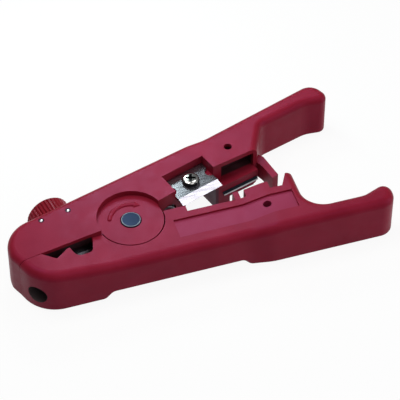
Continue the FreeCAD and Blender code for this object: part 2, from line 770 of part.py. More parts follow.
def make_upper_arm():
    body = new_body("upper_arm")
    top = d.thickness
    low = -d.cut_run
    high = top + d.cut_run
    hub_foot = d.lap_level + d.lap_gap
    outer_middle = ((d.tip_outer_x + d.outer_bend_x) / 2, (d.tip_outer_y + d.outer_bend_y) / 2)
    add_slab(body, "upper_blank", 0, top, upper_arm_outline())
    round_edge(body, "upper_front_rim", d.upper_front_round, lambda edge: passes(edge, *outer_middle, top))
    round_edge(body, "upper_back_rim", d.back_round, lambda edge: passes(edge, *outer_middle, 0))
    add_slab(body, "blade_block", 0, d.flat_ledge,
             rectangle(d.flat_block_start, d.flat_cover, d.flat_block_end, d.flat_block_root), frame=FLAT_FRAME)
    cut_slab(body, "hub_recess", d.hub_face, high, circles=[(0, 0, HUB_SOCKET)])
    cut_slab(body, "lower_hub_space", low, hub_foot, circles=[(0, 0, HUB_SOCKET)])
    add_slab(body, "upper_hub", hub_foot, d.hub_face, circles=[(0, 0, d.hub_radius)])
    head_seat = d.hub_face + d.rivet_head_proud - d.rivet_head_height
    cut_slab(body, "upper_rivet_hole", low, high, circles=[(0, 0, d.rivet_radius + d.rivet_fit)])
    cut_slab(body, "rivet_head_seat", head_seat, high,
             circles=[(0, 0, d.rivet_head_radius + d.hub_clearance / 2)])
    cut_slab(body, "window", d.cutter_level, high,
             rectangle(-WINDOW_HALF, -d.window_drop, WINDOW_HALF, 0), frame=WINDOW_FRAME)
    cut_slab(body, "window_back", low, d.cutter_floor,
             rectangle(d.window_land_left - WINDOW_HALF, -d.window_drop, WINDOW_HALF - d.window_land_right, 0),
             frame=WINDOW_FRAME)
    cut_slab(body, "cutter_screw_hole", low, high,
             circles=[(*SCREW_PLACE, d.cutter_screw_radius + d.fit)], frame=WINDOW_FRAME)
    cut_slab(body, "cutter_nut_seat", low, d.cutter_floor + d.cutter_nut_seat,
             hexagon(*SCREW_PLACE, d.cutter_nut_flat + d.fit), frame=WINDOW_FRAME)
    cut_slab(body, "flat_pocket", d.flat_ledge, d.flat_pocket_roof,
             rectangle(d.flat_pocket_left, -d.flat_block_root, d.flat_pocket_right, d.flat_pocket_depth),
             frame=EDGE_FRAME)
    cut_slab(body, "flat_well", d.flat_well_floor, d.flat_pocket_roof,
             rectangle(d.flat_well_left, 0, d.flat_well_right, d.flat_well_depth), frame=EDGE_FRAME)
    cut_slab(body, "flat_setback", low, d.flat_level,
             rectangle(d.flat_setback_left, -d.flat_drop, d.flat_block_end + d.cut_run, d.flat_setback),
             frame=FLAT_FRAME)
    cut_slab(body, "upper_flat_slot", d.flat_level, d.flat_level + d.flat_thickness,
             rectangle(d.flat_start - d.fit, -d.flat_drop, d.flat_start + d.flat_length + d.fit,
                       d.flat_height - d.flat_drop + d.fit), frame=FLAT_FRAME)
    add_slab(body, "guard_fin", d.guard_level, d.guard_face, [
        (d.guard_root_x, d.guard_root_y),
        (d.guard_heel_x, d.guard_heel_y),
        (d.guard_tip_left, d.guard_tip_low),
        (d.guard_tip_right, d.guard_tip_high),
        (d.guard_back_x, d.guard_back_y),
        (d.guard_top_x, d.guard_top_y),
    ])
    cut_slab(body, "upper_pin_hole", d.blade_pin_foot, high,
             circles=[(d.upper_pin_x, d.upper_pin_y, d.blade_pin_radius + d.fit)])
    bore(body, "upper_spring_pocket", d.spring_level, SPRING_FRAME,
         [(d.spring_pocket_radius, 0, d.spring_head)])
    pocket_half = d.carrier_depth / 2 + d.carrier_clearance
    pocket_side = d.carrier_width / 2 + d.carrier_clearance
    pocket_top = d.carrier_top + d.depth_travel + d.carrier_clearance
    cut_slab(body, "carrier_pocket", MIDDLE - pocket_half, MIDDLE + pocket_half,
             rectangle(-pocket_side, PARTING - d.cut_run, pocket_side, pocket_top), frame=DIAL_FRAME)
    shoulder = d.dial_flange_foot - d.dial_washer_thickness - d.fit
    bore(body, "dial_bore", MIDDLE, DIAL_FRAME, [
        (d.lead_screw_radius + d.carrier_clearance, d.carrier_top, shoulder),
        (d.dial_flange_radius + d.dial_clearance, shoulder, d.dial_knob_foot - d.dial_clearance),
        (d.dial_radius + d.dial_clearance, d.dial_knob_foot - d.dial_clearance, d.dial_top + d.dial_radius),
    ])
    cut_slab(body, "dial_pin_holes", d.dial_pin_foot, high,
             circles=[(offset, d.dial_pin_height, d.dial_pin_radius)
                      for offset in (-d.dial_pin_left, d.dial_pin_right)],
             frame=DIAL_FRAME)
    return body


def hexagon(x, y, across_flats):
    """The six corners of a hexagon given across its flats."""
    reach = across_flats / math.sqrt(3)
    return [(x + reach * math.cos(math.radians(60 * i)), y + reach * math.sin(math.radians(60 * i)))
            for i in range(6)]


def make_pivot():
    """The rivet with its formed end, and the washer under it."""
    head_top = d.hub_face + d.rivet_head_proud
    washer_foot = d.back_recess - d.washer_thickness
    upset_foot = washer_foot - d.rivet_upset_height
    turned_piece("pivot_rivet", [
        (0, upset_foot),
        (d.rivet_upset_radius, upset_foot, d.rivet_upset_round),
        (d.rivet_upset_radius, washer_foot),
        (d.rivet_radius, washer_foot),
        (d.rivet_radius, head_top - d.rivet_head_height),
        (d.rivet_head_radius, head_top - d.rivet_head_height),
        (d.rivet_head_radius, head_top - d.rivet_head_edge),
        (d.rivet_head_radius - d.rivet_head_edge, head_top),
        (0, head_top),
    ], "XZ_Plane")
    washer = new_body("pivot_washer")
    add_slab(washer, "washer_ring", washer_foot, d.back_recess,
             circles=[(0, 0, d.washer_radius), (0, 0, d.rivet_radius + d.fit)])


def make_return_spring():
    """A coil of wire that stands along Y in the two spring pockets."""
    foot = -d.spring_foot + d.spring_wire + d.spring_seat_gap
    length = d.spring_head + d.spring_foot - 2 * (d.spring_wire + d.spring_seat_gap)
    across = FreeCAD.Vector(1, 0, 0)
    helix = doc.addObject("Part::Helix", "spring_path")
    bind(helix, "Radius", d.spring_radius)
    bind(helix, "Height", length)
    bind(helix, "Pitch", length / d.spring_turns)
    climb = arctangent(length / d.spring_turns / (2 * math.pi * d.spring_radius))
    wire = doc.addObject("Part::RegularPolygon", "spring_wire_section")
    wire.Polygon = SPRING_WIRE_SIDES
    bind(wire, "Circumradius", d.spring_wire)
    wire.Placement = FreeCAD.Placement(FreeCAD.Vector(), FreeCAD.Rotation(across, QUARTER_TURN))
    bind(wire, "Placement.Base.x", d.spring_radius)
    bind(wire, "Placement.Rotation.Angle", QUARTER_TURN + climb)
    spring = doc.addObject("Part::Sweep", "return_spring")
    spring.Sections = [wire]
    spring.Spine = (helix, [])
    spring.Solid = True
    spring.Frenet = True
    spring.Placement = FreeCAD.Placement(FreeCAD.Vector(), FreeCAD.Rotation(across, -QUARTER_TURN))
    bind(spring, "Placement.Base.x", SPRING_X)
    bind(spring, "Placement.Base.y", foot)
    bind(spring, "Placement.Base.z", d.spring_level)


def make_blade(label, length, height, thickness, bevel, holes, place):
    """A plate with one bevelled edge along its lower side, and round holes or end notches."""
    body = new_body(label)
    sketch = new_sketch(body, f"{label}_section", plane="YZ_Plane")
    draw_outline(sketch, [
        (0, 0),
        (0, thickness),
        (bevel - height, thickness),
        (-height, d.blade_land),
        (-height, 0),
    ])
    plate = body.newObject("PartDesign::Pad", f"{label}_plate")
    plate.Profile = sketch
    bind(plate, "Length", length)
    doc.recompute()
    cut_slab(body, f"{label}_holes", 0, thickness, circles=holes)
    bind_place(body, "Placement", *place)
    return body


def make_blades():
    make_blade(
        "cutter_blade", d.cutter_length, d.cutter_height, d.cutter_thickness, d.cutter_bevel,
        [(0, -d.cutter_notch_drop, d.cutter_notch_radius),
         (d.cutter_length, -d.cutter_notch_drop, d.cutter_notch_radius),
         (d.cutter_length / 2, -d.cutter_notch_drop, d.cutter_screw_radius + d.fit)],
        (*moved(WINDOW_FRAME, -d.cutter_length / 2, -d.fit), d.cutter_level, d.window_angle))
    upper_pin = turned(d.upper_pin_x, d.upper_pin_y, -d.flat_angle)
    flat_top = d.flat_height - d.flat_drop
    make_blade(
        "upper_flat_blade", d.flat_length, d.flat_height, d.flat_thickness, d.flat_bevel,
        [(upper_pin[0] - d.flat_start, upper_pin[1] - flat_top, d.blade_pin_radius + d.fit)],
        (*turned(d.flat_start, flat_top, d.flat_angle), d.flat_level, d.flat_angle))
    make_blade(
        "lower_flat_blade", d.lower_flat_width, d.lower_flat_height, d.flat_thickness, d.flat_bevel,
        [(d.flat_block_right - d.lower_pin_x, d.lower_pin_y - d.lower_flat_edge - d.lower_flat_height,
          d.blade_pin_radius + d.fit)],
        (d.flat_block_right, -d.lower_flat_edge - d.lower_flat_height, d.flat_level, HALF_TURN))
    make_blade(
        "strip_blade", d.strip_length, d.strip_height, d.strip_thickness, d.strip_bevel,
        [(d.strip_length / 2 + side * d.strip_pin_offset, d.strip_pin_height - STRIP_TOP,
          d.strip_pin_radius + d.fit) for side in (-1, 1)],
        (*moved(DIAL_FRAME, -d.strip_length / 2, STRIP_TOP), MIDDLE - d.strip_thickness / 2,
         d.parting_angle))


def make_cutter_fastener():
    """The pan-head screw over the cutter blade, and the nut under its floor."""
    head_foot = d.cutter_level + d.cutter_thickness
    nut_foot = d.cutter_floor + d.cutter_nut_seat - d.cutter_nut_height
    place = moved(WINDOW_FRAME, *SCREW_PLACE)
    screw = turned_piece("cutter_screw", [
        (0, nut_foot),
        (d.cutter_screw_radius, nut_foot),
        (d.cutter_screw_radius, head_foot),
        (d.cutter_head_radius, head_foot),
        (d.cutter_head_radius, head_foot + d.cutter_head_height, d.cutter_head_crown),
        (0, head_foot + d.cutter_head_height),
    ], "XZ_Plane")
    bind_place(screw, "Placement", *place, 0, 0)
    nut = new_body("cutter_nut")
    add_slab(nut, "cutter_nut_body", nut_foot, nut_foot + d.cutter_nut_height,
             hexagon(size(0), size(0), d.cutter_nut_flat), [(0, 0, d.cutter_screw_radius + d.fit)])
    bind_place(nut, "Placement", *place, 0, d.window_angle)


def make_pin(label, radius, length, x, y, z):
    pin = doc.addObject("Part::Cylinder", label)
    bind(pin, "Radius", radius)
    bind(pin, "Height", length)
    bind_place(pin, "Placement", x, y, z, 0)
    return pin


def make_pins():
    """The pins that hold the flat blades, the dial and the strip blade."""
    make_pin("upper_blade_pin", d.blade_pin_radius, d.blade_pin_length,
             d.upper_pin_x, d.upper_pin_y, d.blade_pin_foot)
    make_pin("lower_blade_pin", d.blade_pin_radius, d.blade_pin_length,
             d.lower_pin_x, -d.lower_pin_y, d.blade_pin_foot + d.back_recess)
    pairs = {
        "dial_retaining_pins": (d.dial_pin_radius, d.thickness - d.dial_pin_foot, d.dial_pin_left,
                                d.dial_pin_right, d.dial_pin_height, d.dial_pin_foot),
        "strip_blade_pins": (d.strip_pin_radius, d.carrier_depth, d.strip_pin_offset, d.strip_pin_offset,
                             d.strip_pin_height, MIDDLE - d.carrier_depth / 2),
    }
    for label, (radius, length, left, right, height, foot) in pairs.items():
        pair = doc.addObject("Part::Compound", label)
        pair.Links = [
            make_pin(f"{label}_{side}", radius, length, *moved(DIAL_FRAME, offset, height), foot)
            for side, offset in (("left", -left), ("right", right))]


def make_dial():
    """The ribbed knob with its neck and flange, the stud in it and the washer under it."""
    dial = turned_piece("adjusting_dial", [
        (d.lead_screw_radius, d.dial_flange_foot),
        (d.dial_flange_radius, d.dial_flange_foot),
        (d.dial_flange_radius, d.dial_flange_top),
        (d.dial_neck_radius, d.dial_flange_top),
        (d.dial_neck_radius, d.dial_knob_foot),
        (d.dial_radius, d.dial_knob_foot),
        (d.dial_radius, d.dial_top - d.dial_chamfer),
        (d.dial_radius - d.dial_chamfer, d.dial_top),
        (0, d.dial_top),
        (0, d.lead_screw_head),
        (d.lead_screw_radius, d.lead_screw_head),
    ], "XY_Plane")
    before = dial.Shape.Volume
    sketch = new_sketch(dial, "rib_groove_sketch", plane="XZ_Plane")
    draw_outline(sketch, [
        (d.dial_radius - d.dial_rib_depth, 0),
        (d.dial_radius + d.dial_rib_depth, -d.dial_rib_half_width),
        (d.dial_radius + d.dial_rib_depth, d.dial_rib_half_width),
    ])
    groove = dial.newObject("PartDesign::Pocket", "rib_groove")
    groove.Profile = sketch
    groove.Type = "ThroughAll"
    groove.SideType = "Symmetric"
    checked_cut(dial, "rib_groove", before)
    ribs = dial.newObject("PartDesign::PolarPattern", "rib_pattern")
    ribs.Originals = [groove]
    ribs.Axis = ([item for item in dial.Origin.OriginFeatures if item.Role == "Y_Axis"][0], [""])
    ribs.Angle = FULL_TURN
    bind(ribs, "Occurrences", d.dial_ribs)
    dial.Tip = ribs
    screw = turned_piece("dial_lead_screw",
                         stepped([(d.lead_screw_radius, d.lead_screw_foot, d.lead_screw_head)]), "XY_Plane")
    washer = turned_piece("dial_spring_washer", rectangle(
        d.dial_washer_bore, d.dial_flange_foot - d.dial_washer_thickness,
        d.dial_flange_radius, d.dial_flange_foot), "XY_Plane")
    for piece in (dial, screw, washer):
        bind_place(piece, "Placement", DIAL_FRAME[0], DIAL_FRAME[1], MIDDLE, d.parting_angle)


def make_carrier():
    """The block that carries the strip blade, and the square nut in it."""
    body = new_body("blade_carrier")
    half = d.carrier_depth / 2
    side = d.carrier_width / 2
    blade_half = d.strip_thickness / 2
    nut_half = d.carrier_nut_side / 2
    nut_top = d.carrier_nut_foot + d.carrier_nut_height
    add_slab(body, "carrier_block", -half, half, rectangle(-side, d.carrier_foot, side, d.carrier_top))
    cut_slab(body, "carrier_blade_slot", -blade_half, blade_half,
             rectangle(-d.strip_length / 2 - d.fit, d.carrier_foot - d.cut_run, d.strip_length / 2 + d.fit,
                       STRIP_TOP + d.fit))
    cut_slab(body, "carrier_nut_slot", -nut_half, half + d.cut_run,
             rectangle(-nut_half - d.fit, d.carrier_nut_foot, nut_half + d.fit, nut_top))
    bore(body, "carrier_screw_hole", 0, (0, 0, 0),
         [(d.lead_screw_radius + d.carrier_clearance, d.carrier_bore_foot, d.carrier_top + d.cut_run)])
    cut_slab(body, "carrier_pin_holes", -half - d.cut_run, half + d.cut_run,
             circles=[(sign * d.strip_pin_offset, d.strip_pin_height, d.strip_pin_radius)
                      for sign in (-1, 1)])
    nut = new_body("carrier_nut")
    add_slab(nut, "carrier_nut_block", -nut_half, nut_half,
             rectangle(-nut_half, d.carrier_nut_foot, nut_half, nut_top))
    bore(nut, "carrier_nut_bore", 0, (0, 0, 0),
         [(d.lead_screw_radius + d.fit, d.carrier_nut_foot - d.cut_run, nut_top + d.cut_run)])
    for piece in (body, nut):
        bind_place(piece, "Placement", DIAL_FRAME[0], DIAL_FRAME[1], MIDDLE, d.parting_angle)


NODES = [
    "lower_arm", "upper_arm", "pivot_rivet", "pivot_washer", "return_spring",
    "cutter_blade", "cutter_screw", "cutter_nut",
    "upper_flat_blade", "upper_blade_pin", "lower_flat_blade", "lower_blade_pin",
    "adjusting_dial", "dial_lead_screw", "dial_spring_washer", "dial_retaining_pins",
    "blade_carrier", "carrier_nut", "strip_blade", "strip_blade_pins",
]


def write_parts():
    """Check every object, then move it to the part's own origin and write one file for each node."""
    doc.recompute()
    for item in doc.Objects:
        if "Invalid" in item.State or "Error" in item.State:
            raise RuntimeError(f"{item.Label} failed: {item.State}")
    shapes = {}
    for label in NODES:
        shape = doc.getObjectsByLabel(label)[0].Shape
        if shape.isNull() or not shape.isValid():
            raise RuntimeError(f"{label} has no valid shape")
        shapes[label] = shape.translated(FreeCAD.Vector(-ORIGIN[0].value, -ORIGIN[1].value, 0))
    os.makedirs("parts", exist_ok=True)
    for label, shape in shapes.items():
        shape.exportStep(f"parts/{label}.step")
        box = shape.BoundBox
        print(f"{label}: {len(shape.Solids)} solid, {shape.Volume:.1f} mm3, "
              f"x {box.XMin:.1f} {box.XMax:.1f}, y {box.YMin:.1f} {box.YMax:.1f}, "
              f"z {box.ZMin:.2f} {box.ZMax:.2f}")


make_lower_arm()
make_upper_arm()
make_pivot()
make_return_spring()
make_blades()
make_cutter_fastener()
make_pins()
make_dial()
make_carrier()
write_parts()
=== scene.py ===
# %% [markdown]
# # A cable jacket stripper
# Two arms of red moulded plastic turn on one rivet. A ribbed dial sets how deep a hidden blade
# scores a cable's jacket, and a second blade in a window cuts wires. The model of the tool comes
# ready made, at its real size. This lesson gives it its finishes, its small fasteners and its light.

# %% Load the model
import json
import math

import bmesh
import bpy
from mathutils import Matrix, Vector


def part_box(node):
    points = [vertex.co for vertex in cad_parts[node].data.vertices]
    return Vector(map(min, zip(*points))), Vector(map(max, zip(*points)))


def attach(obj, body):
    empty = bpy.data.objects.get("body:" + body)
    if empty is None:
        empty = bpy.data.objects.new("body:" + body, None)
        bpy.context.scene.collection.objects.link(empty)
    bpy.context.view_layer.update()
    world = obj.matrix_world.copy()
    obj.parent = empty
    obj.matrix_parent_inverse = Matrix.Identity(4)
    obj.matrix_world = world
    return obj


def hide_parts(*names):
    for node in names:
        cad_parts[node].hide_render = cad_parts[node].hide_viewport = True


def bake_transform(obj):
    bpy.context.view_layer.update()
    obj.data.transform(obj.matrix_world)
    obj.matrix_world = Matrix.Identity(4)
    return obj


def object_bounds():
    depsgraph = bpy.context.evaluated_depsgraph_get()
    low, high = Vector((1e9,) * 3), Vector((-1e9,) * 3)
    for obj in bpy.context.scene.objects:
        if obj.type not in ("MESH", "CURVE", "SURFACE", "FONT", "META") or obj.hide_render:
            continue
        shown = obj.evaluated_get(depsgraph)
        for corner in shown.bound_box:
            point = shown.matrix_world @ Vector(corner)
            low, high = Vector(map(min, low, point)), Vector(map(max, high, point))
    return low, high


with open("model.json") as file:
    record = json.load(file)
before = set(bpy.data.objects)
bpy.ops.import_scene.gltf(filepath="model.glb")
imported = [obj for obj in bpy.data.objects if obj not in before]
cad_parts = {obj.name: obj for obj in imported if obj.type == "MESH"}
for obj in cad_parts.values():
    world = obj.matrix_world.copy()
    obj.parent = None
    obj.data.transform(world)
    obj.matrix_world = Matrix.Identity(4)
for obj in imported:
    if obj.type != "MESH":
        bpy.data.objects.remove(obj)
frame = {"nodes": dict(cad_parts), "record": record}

nodes = frame["nodes"]
cad_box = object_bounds()
scene = bpy.context.scene
scene.view_settings.view_transform = "Standard"

# %% [markdown]
# ## A place to measure from
# Both arms turn about the rivet, so every place on the tool is easiest to give from its axis. A
# point could be typed in the model's own metres. Instead a short helper takes millimetres from the
# pivot, as they would be read off the tool with a caliper. Much on the tool leans, so another helper
# gives the directions along and across a leaning line.

# %% Millimetres from the pivot
MM = 0.001
UP = Vector((0.0, 0.0, 1.0))


def box_of(node):
    """The low and the high corner of a node's box."""
    low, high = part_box(node)
    return Vector(low), Vector(high)


def middle_of(node):
    """The middle of a node's box."""
    low, high = box_of(node)
    return (low + high) / 2


pivot = middle_of("pivot_rivet")


def from_pivot(x, y, z=0.0):
    """A point given in millimetres from the pivot's axis and from the plane the tool lies on."""
    return Vector((pivot.x + x * MM, pivot.y + y * MM, z * MM))


def leaning(angle):
    """The directions along and across a line that is turned by an angle."""
    along = Vector((math.cos(angle), math.sin(angle), 0.0))
    across = Vector((-math.sin(angle), math.cos(angle), 0.0))
    return along, across


print("pivot at", [round(v, 5) for v in from_pivot(0, 0)])

# %% [markdown]
# ## The camera
# The photograph looks down on the tool from the front, with a long lens that flattens the view.
# The camera could be placed by eye. Here it is placed by two angles, a distance and the spot in
# the picture where the pivot shows, so that every edge falls where it falls in the photograph.

# %% Camera at the photograph's angle
PICTURE_PIXELS = 400
PIXELS_PER_MM = 2.94
DISTANCE = 700.0
LOOK_DOWN = math.radians(46.8)
LOOK_ASIDE = math.radians(-17.5)
PIVOT_PIXEL = (131, 221)
PIVOT_FACE = from_pivot(0, 0, 15)
SENSOR = 36.0
NEAR_LIMIT = 0.01

focal_pixels = PIXELS_PER_MM * DISTANCE
right, ahead = leaning(LOOK_ASIDE)
forward = ahead * math.cos(LOOK_DOWN) - UP * math.sin(LOOK_DOWN)
upward = ahead * math.sin(LOOK_DOWN) + UP * math.cos(LOOK_DOWN)
pivot_right = (PIVOT_PIXEL[0] - PICTURE_PIXELS / 2) / focal_pixels
pivot_above = (PICTURE_PIXELS / 2 - PIVOT_PIXEL[1]) / focal_pixels
eye = PIVOT_FACE - (forward + pivot_right * right + pivot_above * upward) * DISTANCE * MM

camera = bpy.data.objects.new("camera", bpy.data.cameras.new("camera"))
scene.collection.objects.link(camera)
camera.data.sensor_width = SENSOR
camera.data.lens = SENSOR * focal_pixels / PICTURE_PIXELS
camera.data.clip_start = NEAR_LIMIT
camera.matrix_world = Matrix.Translation(eye) @ Matrix((right, upward, -forward)).transposed().to_4x4()
scene.camera = camera
print("lens:", round(camera.data.lens, 1), "mm")

# %% [markdown]
# ## Materials as trees
# A material in Blender is a tree of nodes whose sockets are wired to each other. The nodes could be
# placed and wired with the mouse in the Shader Editor. In a script, the same few lines would come
# back for every node, so these helpers take them up, and each finish below reads like a recipe.

# %% Helpers for the nodes of a material
WHITE = (1.0, 1.0, 1.0, 1)
NUMBER_RESULTS = ("DOT_PRODUCT", "DISTANCE")


def wire(tree, node, inputs):
    """Fill a node's inputs, each with a fixed value or with the output of another node."""
    for name, value in inputs.items():
        if isinstance(value, bpy.types.NodeSocket):
            tree.links.new(value, node.inputs[name])
        else:
            node.inputs[name].default_value = value


def add_node(tree, kind, inputs, **options):
    """A new shader node, with its options and its inputs set."""
    node = tree.nodes.new("ShaderNode" + kind)
    for option, choice in options.items():
        setattr(node, option, choice)
    wire(tree, node, inputs)
    return node


def number_step(tree, operation, first, second=0.0):
    """One step of arithmetic on numbers."""
    return add_node(tree, "Math", {0: first, 1: second}, operation=operation).outputs["Value"]


def vector_step(tree, operation, first, second):
    """One step of arithmetic on vectors."""
    step = add_node(tree, "VectorMath", {0: first, 1: second}, operation=operation)
    return step.outputs["Value" if operation in NUMBER_RESULTS else "Vector"]


def new_material(name):
    """A new material, with its tree and its Principled shader."""
    material = bpy.data.materials.new(name)
    material.use_nodes = True
    tree = material.node_tree
    return material, tree, tree.nodes["Principled BSDF"]


print("made wire, add_node, number_step, vector_step and new_material")

# %% [markdown]
# ## The floor
# The photograph shows the tool cut out on white, with hardly a shadow. A white floor that only
# reflects would throw light up the tool's walls and wash out their dark red. So the floor is a grey
# reflector for the light that falls on it, and glows white for what the camera and the metal see,
# with a small share of real white paint left in it so that the shadow stays.

# %% Floor
FLOOR_REACH = 3.0
FLOOR_DROP = 0.2
FLOOR_GREY = (0.45, 0.45, 0.45, 1)
FLOOR_GLOW = 0.92


def floor_paint():
    """Grey for the light that falls on it, glowing white for what looks at it."""
    material, tree, shader = new_material("pale floor")
    tree.nodes.remove(shader)
    grey = add_node(tree, "BsdfDiffuse", {"Color": FLOOR_GREY})
    white = add_node(tree, "BsdfDiffuse", {"Color": WHITE})
    glow = add_node(tree, "Emission", {"Color": WHITE})
    ray = add_node(tree, "LightPath", {}).outputs
    seen = number_step(tree, "MAXIMUM", ray["Is Camera Ray"], ray["Is Glossy Ray"])
    seen = number_step(tree, "MAXIMUM", seen, ray["Is Transmission Ray"])
    shown = add_node(tree, "MixShader", {0: FLOOR_GLOW, 1: white.outputs[0], 2: glow.outputs[0]})
    mix = add_node(tree, "MixShader", {0: seen, 1: grey.outputs[0], 2: shown.outputs[0]})
    wire(tree, tree.nodes["Material Output"], {"Surface": mix.outputs[0]})
    return material


def make_floor():
    mesh = bpy.data.meshes.new("floor")
    shape = bmesh.new()
    bmesh.ops.create_grid(shape, x_segments=2, y_segments=2, size=FLOOR_REACH)
    shape.to_mesh(mesh)
    shape.free()
    mesh.materials.append(floor_paint())
    floor = bpy.data.objects.new("floor", mesh)
    scene.collection.objects.link(floor)
    floor.location.z = cad_box[0][2] - FLOOR_DROP * MM
    return floor


print("floor at", round(make_floor().location.z / MM, 2), "mm")

# %% [markdown]
# ## Sky and lamps
# A pale sky gives every face some light. The main lamp stands high on the nose's side, so the light
# falls off towards the handles. One in front fills the recesses, and a low one on the right lifts the
# ends of the handles. One lamp overhead could light it all, but then the walls would be black and the
# handles as bright as the nose. A small lamp is placed where the cutter's bevel mirrors it, and
# whitens that bevel.

# %% Sky and the lamps that light the tool
SKY_COLOUR = (0.97, 0.98, 1.0, 1)
SKY_STRENGTH = 0.145
PLAIN_LIGHT = (1.0, 0.99, 0.98)
ROSY_LIGHT = (1.0, 0.97, 0.99)
WHITE_LIGHT = (1.0, 1.0, 1.0)
MIDDLE_OF_TOOL = from_pivot(20, 10, 10)


def make_sky():
    sky = bpy.data.worlds.new("studio sky")
    scene.world = sky
    sky.use_nodes = True
    wire(sky.node_tree, sky.node_tree.nodes["Background"], {"Color": SKY_COLOUR, "Strength": SKY_STRENGTH})


def make_lamp(name, place, target, size, power, colour):
    """A round lamp that looks at its target; size in metres and power in watts."""
    data = bpy.data.lights.new(name, "AREA")
    data.shape = "DISK"
    data.size = size
    data.energy = power
    data.color = colour
    lamp = bpy.data.objects.new(name, data)
    scene.collection.objects.link(lamp)
    lamp.location = place
    lamp.visible_camera = False
    lamp.rotation_euler = (target - place).to_track_quat("-Z", "Y").to_euler()
    return lamp


make_sky()
make_lamp("main lamp", place=from_pivot(-120, 120, 540), target=from_pivot(-10, 0, 15),
          size=0.30, power=1.28, colour=PLAIN_LIGHT)
make_lamp("front lamp", place=from_pivot(120, -380, 520), target=MIDDLE_OF_TOOL,
          size=0.35, power=0.48, colour=ROSY_LIGHT)
make_lamp("end lamp", place=from_pivot(480, -220, 160), target=MIDDLE_OF_TOOL,
          size=0.30, power=0.65, colour=PLAIN_LIGHT)
make_lamp("bevel lamp", place=from_pivot(200, 125, 470), target=from_pivot(27, 8, 14),
          size=0.13, power=0.22, colour=WHITE_LIGHT)

# %% [markdown]
# ## The sheen
# The upper faces round the pivot and the window have a soft, cool sheen. A stronger lamp overhead
# would brighten everything. Two small lamps stand close behind the tool instead, where those faces
# mirror them towards the camera. The second would blind the cutter, so it is linked to the two arms
# and adds gloss only.

# %% Lamps for the sheen
COOL_LIGHT = (0.80, 1.0, 0.97)

make_lamp("sheen lamp", place=from_pivot(16, 118, 117), target=from_pivot(-12, 27, 15),
          size=0.052, power=0.085, colour=COOL_LIGHT)
arm_sheen = make_lamp("arm sheen lamp", place=from_pivot(72, 118, 126), target=from_pivot(42, 20, 17),
                      size=0.07, power=0.085, colour=COOL_LIGHT)
arm_sheen.visible_diffuse = False
arms = bpy.data.collections.new("faces with a sheen")
for arm in ("lower_arm", "upper_arm"):
    arms.objects.link(nodes[arm])
arm_sheen.light_linking.receiver_collection = arms

# %% [markdown]
# ## Grain and pigment
# The arms are moulded in one crimson plastic, with the fine dull grain that a spark-worn mould
# leaves. A picture of plastic could be wrapped round them, but here the grain comes from noise in
# the tool's own coordinates, so it has the same scale on every face and needs no unwrapping. A slow
# noise shifts the colour a little, as pigment does, and a fine one gives the grain its bump.

# %% Helpers for noise
NOISE_LOW = 0.3
NOISE_HIGH = 0.7


def own_place(tree):
    """The shaded point in the tool's own coordinates."""
    return add_node(tree, "TexCoord", {}).outputs["Object"]


def object_noise(tree, spots, detail=3.0, stretch=None):
    """Noise with so many spots per metre; stretch is (scale of each axis, angle) for drawn-out spots."""
    place = own_place(tree)
    if stretch:
        scales, angle = stretch
        mapping = {"Vector": place, "Rotation": (0, 0, angle), "Scale": scales}
        place = add_node(tree, "Mapping", mapping).outputs["Vector"]
    return add_node(tree, "TexNoise", {"Vector": place, "Scale": spots, "Detail": detail}).outputs["Fac"]


def ramp(tree, source, stops):
    """A colour ramp from stops (position, colour)."""
    scale = add_node(tree, "ValToRGB", {"Fac": source})
    first, last = scale.color_ramp.elements
    first.position, first.color = stops[0]
    last.position, last.color = stops[-1]
    for position, colour in stops[1:-1]:
        scale.color_ramp.elements.new(position).color = colour
    return scale.outputs["Color"]


def spread(tree, noise, low, high):
    """A noise moved into a range."""
    span = {"Value": noise, "From Min": NOISE_LOW, "From Max": NOISE_HIGH, "To Min": low, "To Max": high}
    return add_node(tree, "MapRange", span).outputs["Result"]


def bumped(tree, height, strength, depth):
    """The normal of a surface with bumps; depth in millimetres."""
    bumps = {"Height": height, "Strength": strength, "Distance": depth * MM}
    return add_node(tree, "Bump", bumps).outputs["Normal"]


print("noise is used from", NOISE_LOW, "to", NOISE_HIGH)

# %% [markdown]
# ## Masks
# Some places are painted unlike the rest of their piece: painted shade inside a hole and a pocket, a
# painted highlight on a blade's edge. They could be painted on an unwrapped picture. A mask is simpler:
# it asks how far the shaded point is from a line or a box on the tool, and is 1 close to it and 0
# beyond. It is given in millimetres, so it stays sharp at any zoom.

# %% Helpers for masks


def fade(tree, distance, size, soft):
    """A mask that is 1 up to a size and fades to 0 over a soft edge, both in millimetres."""
    span = {"Value": distance, "From Min": size * MM, "From Max": (size + soft) * MM,
            "To Min": 1, "To Max": 0}
    return add_node(tree, "MapRange", span).outputs["Result"]


def distance_from(tree, point):
    """How far the shaded point is from a point, in metres."""
    return vector_step(tree, "DISTANCE", own_place(tree), point)


def distance_from_axis(tree, point, direction):
    """How far the shaded point is from a line, in metres."""
    away = vector_step(tree, "SUBTRACT", own_place(tree), point)
    along = vector_step(tree, "PROJECT", away, direction)
    return vector_step(tree, "DISTANCE", away, along)


def inside_box(tree, angle, start, steps, halves, soft):
    """A mask that is 1 in a box turned by an angle, with halves of its sides in millimetres.

    Its middle is reached from start by steps along and across, in millimetres.
    """
    along, across = leaning(angle)
    middle = start + (steps[0] * along + steps[1] * across) * MM
    away = vector_step(tree, "SUBTRACT", own_place(tree), middle)
    mask = 1.0
    for direction, half in zip((along, across, UP), halves):
        reach = number_step(tree, "ABSOLUTE", vector_step(tree, "DOT_PRODUCT", away, direction))
        mask = number_step(tree, "MULTIPLY", mask, fade(tree, reach, half, soft))
    return mask


def painted(tree, under, mask, colour):
    """One colour laid over another where the mask is 1."""
    layers = {"Factor": mask, "A": under, "B": colour}
    return add_node(tree, "Mix", layers, data_type="RGBA").outputs["Result"]


print("made fade, distance_from, distance_from_axis, inside_box and painted")
